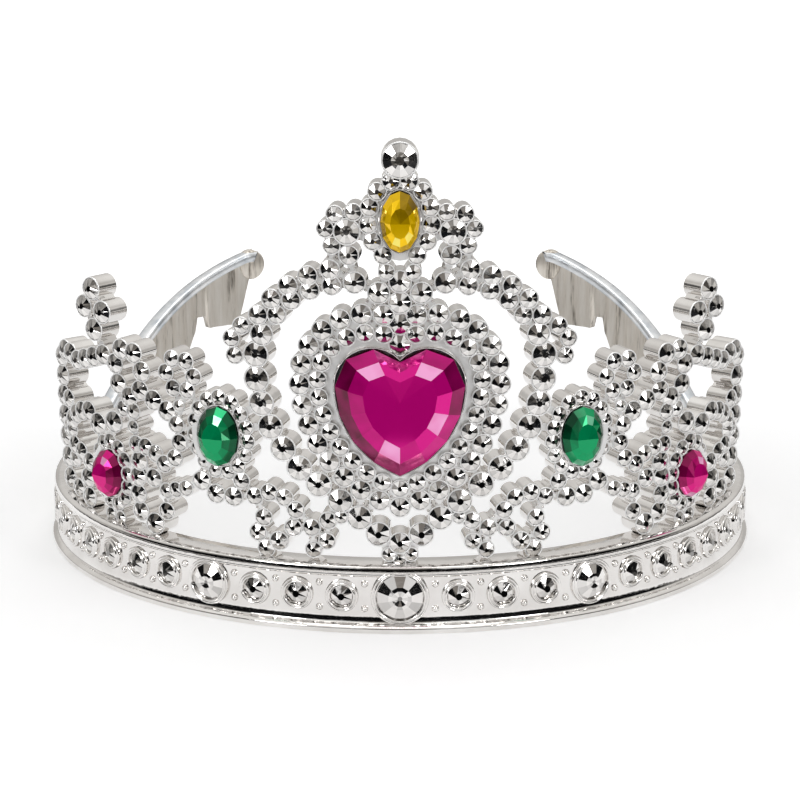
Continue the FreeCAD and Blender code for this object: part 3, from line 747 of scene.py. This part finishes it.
def cut_gem(rings, centre, lower, upper, table):
    """Gem with separate flat facets; the last ring is closed by triangles to the centre."""
    builder = Builder()
    count = len(rings[0])
    for low, high, tones in zip(rings, rings[1:], ((0.0,), lower, upper)):
        builder.flat_ring(low, high, tones)
    builder.add(rings[-1] + [centre], [[k, (k + 1) % count, count] for k in range(count)], tones=table)
    builder.add(rings[0], [list(range(count))[::-1]], tones=(0.0,))
    return builder


def heart_tier(scale):
    sink = -LOBE_RADIUS * 0.35
    return [(x * scale, sink + (z - sink) * scale) for x, z in heart_outline(0.0, HEART_FACETS)]


def build_heart_gem():
    seat = Seat(0, HEART_H)
    tiers = [(1.0, 0.0), (1.0, 0.2), (0.8, 0.68), (0.57, 0.96)]
    rings = [seat.ring(heart_tier(k), SEAT_OUT + HEART_THICK * t) for k, t in tiers]
    centre = seat.at(0, -LOBE_RADIUS * 0.35, SEAT_OUT + HEART_THICK)
    return cut_gem(rings, centre, HEART_LOWER, HEART_UPPER, HEART_TABLE)


def build_oval_gem(s, h, size, lower=OVAL_LOWER, upper=OVAL_UPPER, table=OVAL_TABLE):
    seat = Seat(s, h)
    outline = ellipse(size[0] / 2, size[1] / 2, OVAL_FACETS)
    tiers = [(1.0, 0.0), (1.0, 0.26), (0.78, 0.66)]
    rings = [seat.ring([(x * k, z * k) for x, z in outline], SEAT_OUT + OVAL_THICK * t) for k, t in tiers]
    drop = 0.16 * OVAL_THICK / (size[1] / 4)
    crest = SEAT_OUT + OVAL_THICK
    rings.append([seat.at(x * 0.5, z * 0.5, crest - abs(z * 0.5) * drop) for x, z in outline])
    return cut_gem(rings, seat.at(0, 0, crest), lower, upper, table)


# Materials

def linear(code):
    """Linear colour from an sRGB hex code."""
    values = [int(code[i:i + 2], 16) / 255 for i in (1, 3, 5)]
    return tuple(v / 12.92 if v <= 0.04045 else ((v + 0.055) / 1.055) ** 2.4 for v in values) + (1.0,)


def node(tree, kind, inputs=None, stops=(), **settings):
    """Adds one node with its fields, inputs and colour stops, and links the inputs that are sockets."""
    made = tree.nodes.new(kind)
    for name, value in settings.items():
        setattr(made, name, value)
    for name, value in (inputs or {}).items():
        if isinstance(value, bpy.types.NodeSocket):
            tree.links.new(value, made.inputs[name])
        else:
            made.inputs[name].default_value = value
    if stops:
        elements = made.color_ramp.elements
        while len(elements) < len(stops):
            elements.new(0.5)
        for element, (position, colour) in zip(elements, stops):
            element.position = position
            element.color = linear(colour) if isinstance(colour, str) else tuple(colour)
    return made


def new_material(name):
    material = bpy.data.materials.new(name)
    material.use_nodes = True
    tree = material.node_tree
    return material, tree, tree.nodes["Principled BSDF"]


def per_metre(size_mm):
    """Texture scale that makes a pattern's features about this many millimetres wide."""
    return 1.0 / (size_mm * MM)


def plated_plastic(settings):
    # ABS, injection moulded and vacuum plated: near-mirror and slightly warm, with a faint ripple from
    # the mould and a soft bloom where the lacquer over the metal is thicker.
    material, tree, shader = new_material("chrome_plated_abs")
    place = node(tree, "ShaderNodeTexCoord").outputs["Object"]
    bloom = node(tree, "ShaderNodeTexNoise", {"Vector": place, "Scale": per_metre(9.0), "Detail": 3.0})
    bloom = bloom.outputs["Fac"]
    ripple = node(tree, "ShaderNodeTexNoise", {"Vector": place, "Scale": per_metre(1.6), "Detail": 2.0})
    plating = node(tree, "ShaderNodeValToRGB", {"Fac": bloom},
                   [(0.3, settings.chrome_shade), (0.7, settings.chrome_colour)])
    # The painted tone of each face darkens the plating: painted reflections and shade on the stones' facets
    # and tables
    tone = node(tree, "ShaderNodeAttribute", attribute_name="painted_facet_tone").outputs["Fac"]
    grey = node(tree, "ShaderNodeCombineColor", {"Red": tone, "Green": tone, "Blue": tone})
    shaded = node(tree, "ShaderNodeMix", {0: 1.0, 6: plating.outputs["Color"], 7: grey.outputs["Color"]},
                  data_type="RGBA", blend_type="MULTIPLY")
    tree.links.new(shaded.outputs[2], shader.inputs["Base Color"])
    rough = node(tree, "ShaderNodeMapRange", {"Value": bloom, "To Min": 0.04, "To Max": 0.12})
    tree.links.new(rough.outputs["Result"], shader.inputs["Roughness"])
    bump = node(tree, "ShaderNodeBump",
                {"Height": ripple.outputs["Fac"], "Strength": 0.1, "Distance": 0.0003})
    tree.links.new(bump.outputs["Normal"], shader.inputs["Normal"])
    shader.inputs["Metallic"].default_value = 1.0
    return material


def pale_plating_and_painted_highlight(name, code, metallic):
    # The same plating, paler, duller and mottled towards white: painted highlight on bead lips, seat lips,
    # web and plate fronts.
    material, tree, shader = new_material(name)
    place = node(tree, "ShaderNodeTexCoord").outputs["Object"]
    mottle = node(tree, "ShaderNodeTexNoise", {"Vector": place, "Scale": per_metre(3.0), "Detail": 4.0})
    mottle = mottle.outputs["Fac"]
    rough = node(tree, "ShaderNodeMapRange", {"Value": mottle, "To Min": 0.22, "To Max": 0.45})
    tree.links.new(rough.outputs["Result"], shader.inputs["Roughness"])
    colour = node(tree, "ShaderNodeValToRGB", {"Fac": mottle}, [(0.2, code), (0.8, "#ffffff")])
    tree.links.new(colour.outputs["Color"], shader.inputs["Base Color"])
    shader.inputs["Metallic"].default_value = metallic
    return material


def streaked_plating():
    # The same plating on the arms, thin and rubbed: warm pale grey with fine dark upright streaks over
    # the comb ribs inside.
    material, tree, shader = new_material("streaked_chrome_plated_abs")
    place = node(tree, "ShaderNodeTexCoord").outputs["Object"]
    upright = node(tree, "ShaderNodeMapping", {"Vector": place, "Scale": (1.0, 1.0, 0.1)}).outputs["Vector"]
    streak = node(tree, "ShaderNodeTexNoise", {"Vector": upright, "Scale": per_metre(2.6), "Detail": 5.0,
                                               "Roughness": 0.7}).outputs["Fac"]
    colour = node(tree, "ShaderNodeValToRGB", {"Fac": streak},
                  [(0.36, "#7d756c"), (0.46, "#dbd4ca"), (0.7, "#efeae2")])
    tree.links.new(colour.outputs["Color"], shader.inputs["Base Color"])
    rough = node(tree, "ShaderNodeMapRange", {"Value": streak, "To Min": 0.5, "To Max": 0.3})
    tree.links.new(rough.outputs["Result"], shader.inputs["Roughness"])
    bump = node(tree, "ShaderNodeBump", {"Height": streak, "Strength": 0.2, "Distance": 0.0004})
    tree.links.new(bump.outputs["Normal"], shader.inputs["Normal"])
    shader.inputs["Metallic"].default_value = 0.85
    return material


def tinted_acrylic(name, painted_shade, body, painted_glint):
    # Cast acrylic, tinted through, with a silvered flat back: each facet has a painted brightness, from a
    # painted shade to a pale painted glint, that stands in for its reflections and shade; the polished coat
    # adds clear white glints.
    material, tree, shader = new_material(name)
    tone = node(tree, "ShaderNodeAttribute", attribute_name="painted_facet_tone").outputs["Fac"]
    place = node(tree, "ShaderNodeTexCoord").outputs["Object"]
    cloud = node(tree, "ShaderNodeTexNoise", {"Vector": place, "Scale": per_metre(4.0), "Detail": 1.0})
    shift = node(tree, "ShaderNodeMapRange", {"Value": cloud.outputs["Fac"], "To Min": -0.12, "To Max": 0.12})
    mixed = node(tree, "ShaderNodeMath", {0: tone, 1: shift.outputs["Result"]}, operation="ADD")
    colour = node(tree, "ShaderNodeValToRGB", {"Fac": mixed.outputs["Value"]},
                  [(0.0, painted_shade), (0.4, body), (0.78, body), (1.0, painted_glint)])
    tree.links.new(colour.outputs["Color"], shader.inputs["Base Color"])
    shader.inputs["Metallic"].default_value = 0.45
    shader.inputs["Roughness"].default_value = 0.07
    shader.inputs["Coat Weight"].default_value = 0.15
    shader.inputs["Specular IOR Level"].default_value = 0.25
    shader.inputs["Coat IOR"].default_value = 1.49
    shader.inputs["Coat Roughness"].default_value = 0.02
    return material


def seen_rays(tree):
    """One where a ray shows the backdrop: from the camera, off metal or through glass."""
    path = node(tree, "ShaderNodeLightPath")
    seen = path.outputs["Is Camera Ray"]
    for name in ("Is Glossy Ray", "Is Transmission Ray"):
        both = node(tree, "ShaderNodeMath", {0: seen, 1: path.outputs[name]}, operation="MAXIMUM")
        seen = both.outputs["Value"]
    return seen


# Beyond this the paper in mirrors gives way to a painted reflection of a dark room
PAPER_IN_MIRRORS = 0.19   # metres from the object's middle to where the paper ends in mirrors


def white_paper():
    # Seamless white paper: matt, lifted to white where it is seen, and less near the object: a painted shadow
    # there, over its real shadow. In mirrors it ends a short way round the object, where a painted dark
    # reflection begins.
    material, tree, shader = new_material("white_paper")
    place = node(tree, "ShaderNodeTexCoord").outputs["Object"]
    grain = node(tree, "ShaderNodeTexNoise", {"Vector": place, "Scale": per_metre(2.5)}).outputs["Fac"]
    paper = node(tree, "ShaderNodeValToRGB", {"Fac": grain}, [(0.0, "#ededed"), (1.0, "#f4f4f4")])
    tree.links.new(paper.outputs["Color"], shader.inputs["Base Color"])
    shader.inputs["Roughness"].default_value = 0.9
    shader.inputs["Specular IOR Level"].default_value = 0.0
    shader.inputs["Emission Color"].default_value = linear("#ffffff")
    away = node(tree, "ShaderNodeVectorMath", {0: place}, operation="LENGTH").outputs["Value"]
    lift_with_painted_shadow = node(tree, "ShaderNodeMapRange", {"Value": away, "From Min": 0.09, "From Max": 0.3, "To Min": 0.3,
                                             "To Max": 0.7}).outputs["Result"]
    seen = node(tree, "ShaderNodeMath", {0: seen_rays(tree), 1: lift_with_painted_shadow}, operation="MULTIPLY").outputs["Value"]
    tree.links.new(seen, shader.inputs["Emission Strength"])
    # Painted reflection of a dark room, seen only in mirrors past the paper's edge
    painted_reflection = node(tree, "ShaderNodeValToRGB", {"Fac": away},
                    [(PAPER_IN_MIRRORS, "#ffffff"), (0.2, "#17181b"), (0.3, "#24262a"), (0.42, "#77736e"),
                     (0.8, "#d8d6d2")])
    painted_room = node(tree, "ShaderNodeEmission", {"Color": painted_reflection.outputs["Color"]})
    past_paper = node(tree, "ShaderNodeMath", {0: away, 1: PAPER_IN_MIRRORS},
                      operation="GREATER_THAN").outputs["Value"]
    glossy = node(tree, "ShaderNodeLightPath").outputs["Is Glossy Ray"]
    share = node(tree, "ShaderNodeMath", {0: past_paper, 1: glossy}, operation="MULTIPLY").outputs["Value"]
    both = node(tree, "ShaderNodeMixShader", {"Fac": share, 1: shader.outputs[0], 2: painted_room.outputs[0]})
    tree.links.new(both.outputs[0], tree.nodes["Material Output"].inputs["Surface"])
    return material


# Stage

ROOM_LIGHT = 0.45         # strength of the white room on surfaces that aren't mirrors


def area_light(name, place, target, size, power):
    data = bpy.data.lights.new(name, "AREA")
    data.shape = "DISK"
    data.size = size
    data.energy = power
    lamp = bpy.data.objects.new(name, data)
    lamp.location = place
    lamp.rotation_euler = (Vector(target) - Vector(place)).to_track_quat("-Z", "Y").to_euler()
    bpy.context.scene.collection.objects.link(lamp)


def make_world():
    """White backdrop, a softer white light on the object, and in mirrors a painted reflection of a room that
    the camera doesn't see.

    The front of that painted room is dark about the camera, with a painted white screen on each side of it.
    """
    world = bpy.data.worlds.new("studio")
    bpy.context.scene.world = world
    world.use_nodes = True
    tree = world.node_tree
    tree.nodes.clear()
    direction = node(tree, "ShaderNodeTexCoord").outputs["Generated"]
    parts = node(tree, "ShaderNodeSeparateXYZ", {"Vector": direction}).outputs
    aside = node(tree, "ShaderNodeMath", {0: parts["X"]}, operation="ABSOLUTE").outputs["Value"]
    # Painted reflection across the front of the room: grey in the middle, a white screen on each side, greys
    # further round
    painted_screens = node(tree, "ShaderNodeValToRGB", {"Fac": aside},
                   [(0.0, "#8d8883"), (0.16, "#8d8883"), (0.24, "#ffffff"), (0.6, "#ffffff"),
                    (0.67, "#55575a"), (0.8, "#7d7872"), (0.95, "#dcdad6")]).outputs["Color"]
    masks = []
    for axis, start, end in (("Y", 0.0, 0.35), ("Z", 0.45, 0.75), ("Z", 0.2, 0.3)):
        mask = node(tree, "ShaderNodeValToRGB", {"Fac": parts[axis]}, [(start, "#000000"), (end, "#ffffff")])
        masks.append(mask.outputs["Color"])
    behind, overhead, height = masks
    walls = node(tree, "ShaderNodeMix", {0: behind, 6: painted_screens, 7: linear("#dcdad7")}, data_type="RGBA")
    upper = node(tree, "ShaderNodeMix", {0: overhead, 6: walls.outputs[2], 7: linear("#f4f3f0")},
                 data_type="RGBA")
    # Low down, the painted reflection is near black in front and grey behind
    lower = node(tree, "ShaderNodeMix", {0: behind, 6: linear("#0b0c0e"), 7: linear("#c0bebb")},
                 data_type="RGBA")
    painted_room = node(tree, "ShaderNodeMix", {0: height, 6: lower.outputs[2], 7: upper.outputs[2]},
                data_type="RGBA").outputs[2]
    path = node(tree, "ShaderNodeLightPath").outputs
    white = node(tree, "ShaderNodeBackground", {"Color": linear("#ffffff"), "Strength": 1.0})
    painted_reflection = node(tree, "ShaderNodeBackground", {"Color": painted_room, "Strength": 1.0})
    light = node(tree, "ShaderNodeBackground", {"Color": linear("#ffffff"), "Strength": ROOM_LIGHT})
    seen = node(tree, "ShaderNodeMath", {0: path["Is Glossy Ray"], 1: path["Is Transmission Ray"]},
                operation="MAXIMUM").outputs["Value"]
    off_object = node(tree, "ShaderNodeMixShader", {"Fac": seen, 1: light.outputs[0],
                                                    2: painted_reflection.outputs[0]})
    camera = node(tree, "ShaderNodeMixShader", {"Fac": path["Is Camera Ray"], 1: off_object.outputs[0],
                                                2: white.outputs[0]})
    output = node(tree, "ShaderNodeOutputWorld")
    tree.links.new(camera.outputs[0], output.inputs["Surface"])


def make_floor():
    mesh = bpy.data.meshes.new("floor")
    half = 3.0
    corners = [(-half, -half, 0), (half, -half, 0), (half, half, 0), (-half, half, 0)]
    mesh.from_pydata(corners, [], [(0, 1, 2, 3)])
    mesh.materials.append(white_paper())
    floor = bpy.data.objects.new("floor", mesh)
    bpy.context.scene.collection.objects.link(floor)


def make_camera(settings):
    data = bpy.data.cameras.new("camera")
    data.lens = settings.camera_lens
    data.sensor_width = 36.0
    camera = bpy.data.objects.new("camera", data)
    camera.location = spot(0, -CAMERA_BACK, CAMERA_UP)
    camera.rotation_euler = (math.radians(90 - CAMERA_PITCH), 0, 0)
    bpy.context.scene.collection.objects.link(camera)
    bpy.context.scene.camera = camera


# Add-on

def colour_property(name, description, code):
    return bpy.props.FloatVectorProperty(name=name, description=description, subtype="COLOR", size=4,
                                         min=0.0, max=1.0, default=linear(code))


class TiaraSettings(bpy.types.PropertyGroup):
    chrome_colour: colour_property("Chrome", "Plating where it is brightest", "#efedeb")
    chrome_shade: colour_property("Chrome shade", "Plating where the lacquer blooms", "#dddad7")
    heart_colour: colour_property("Heart", "Body colour of the heart gem", "#e0068c")
    yellow_colour: colour_property("Top gem", "Body colour of the top oval", "#ffce00")
    green_colour: colour_property("Green gems", "Body colour of the green ovals", "#00a062")
    pink_colour: colour_property("Side gems", "Body colour of the small side ovals", "#e40c86")
    screen_power: bpy.props.FloatProperty(name="Screens", description="Power of each front screen",
                                          default=1.6, min=0.0, subtype="POWER", unit="POWER")
    top_power: bpy.props.FloatProperty(name="Top light", description="Power of the light overhead",
                                       default=2.2, min=0.0, subtype="POWER", unit="POWER")
    camera_lens: bpy.props.FloatProperty(name="Lens", description="Focal length of the camera",
                                         default=CAMERA_LENS, min=20.0, unit="CAMERA")


def dress(piece, slot, *nodes):
    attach(piece, "root")
    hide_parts(*nodes)


class TIARA_OT_moulding(bpy.types.Operator):
    """Build the chrome-plated moulding: wall of beads, gem seats, headband strip and arms"""

    bl_idname = "tiara.moulding"
    bl_label = "Chrome moulding"

    def execute(self, context):
        settings = context.scene.tiara
        bright = plated_plastic(settings)
        streaked = streaked_plating()
        # Pale plating painted as a highlight on the lips and on the fronts of webs and plates
        lip = pale_plating_and_painted_highlight("chrome_edge_painted_highlight", "#f6f5f4", 0.4)
        arm_rim = pale_plating_and_painted_highlight("rubbed_chrome_arm_rim", "#b4bcc4", 0.8)
        pieces = (("bead_wall", build_beads(), [bright, lip]), ("gem_seats", build_plates(), [bright, lip]),
                  ("headband_strip", build_strip(), [bright]), ("arms", build_arms(), [streaked, arm_rim]))
        for name, builder, materials in pieces:
            dress(builder.object(name, materials), "chrome_plated_plastic", "tiara_frame")
        return {"FINISHED"}


class TIARA_OT_gems(bpy.types.Operator):
    """Build the heart and the five oval gems"""

    bl_idname = "tiara.gems"
    bl_label = "Glued gems"

    def execute(self, context):
        settings = context.scene.tiara
        # After each body colour come the painted shade and the painted glint of the facets
        magenta = tinted_acrylic("magenta_cast_acrylic", "#560428", settings.heart_colour, "#ffb0e2")
        yellow = tinted_acrylic("yellow_cast_acrylic", "#5a4300", settings.yellow_colour, "#fff27a")
        green = tinted_acrylic("green_cast_acrylic", "#032616", settings.green_colour, "#8fe6bb")
        pink = tinted_acrylic("pink_cast_acrylic", "#5c042e", settings.pink_colour, "#ffb4e0")
        heart = build_heart_gem().object("heart", [magenta])
        dress(heart, "magenta_acrylic", "heart_gem")
        cut = build_oval_gem(0, TOP_OVAL_H, TOP_OVAL, YELLOW_LOWER, YELLOW_UPPER, YELLOW_TABLE)
        top = cut.object("yellow_oval", [yellow])
        dress(top, "yellow_acrylic", "top_oval_gem")
        for side, word in ((1, "left"), (-1, "right")):
            gem = build_oval_gem(side * GREEN_S, GREEN_H, GREEN_OVAL).object("green_oval_" + word, [green])
            dress(gem, "green_acrylic", "green_oval_gem_" + word)
            gem = build_oval_gem(side * PINK_S, PINK_H, PINK_OVAL).object("pink_oval_" + word, [pink])
            dress(gem, "pink_acrylic", "pink_oval_gem_" + word)
        return {"FINISHED"}


class TIARA_OT_stage(bpy.types.Operator):
    """Lay the white paper and set the lights and the camera"""

    bl_idname = "tiara.stage"
    bl_label = "Floor, lights and camera"

    def execute(self, context):
        settings = context.scene.tiara
        make_world()
        make_floor()
        for side in (1, -1):
            area_light("screen", (0.6 * side, -0.75, 0.4), (0, 0, 0.05), 0.3, settings.screen_power)
        area_light("top", (0.0, -0.05, 0.95), (0, 0, 0.03), 0.6, settings.top_power)
        make_camera(settings)
        context.scene.view_settings.view_transform = "Standard"
        return {"FINISHED"}


class TIARA_PT_panel(bpy.types.Panel):
    bl_label = "Tiara"
    bl_idname = "TIARA_PT_panel"
    bl_space_type = "VIEW_3D"
    bl_region_type = "UI"
    bl_category = "Tiara"

    def draw(self, context):
        settings = context.scene.tiara
        for name in TiaraSettings.__annotations__:
            self.layout.prop(settings, name)
        for name in ("tiara.moulding", "tiara.gems", "tiara.stage"):
            self.layout.operator(name)


CLASSES = (TiaraSettings, TIARA_OT_moulding, TIARA_OT_gems, TIARA_OT_stage, TIARA_PT_panel)


def register():
    for cls in CLASSES:
        bpy.utils.register_class(cls)
    bpy.types.Scene.tiara = bpy.props.PointerProperty(type=TiaraSettings)


def unregister():
    del bpy.types.Scene.tiara
    for cls in reversed(CLASSES):
        bpy.utils.unregister_class(cls)


def main():
    register()
    bpy.ops.tiara.moulding()
    bpy.ops.tiara.gems()
    bpy.ops.tiara.stage()


if __name__ == "__main__":
    main()
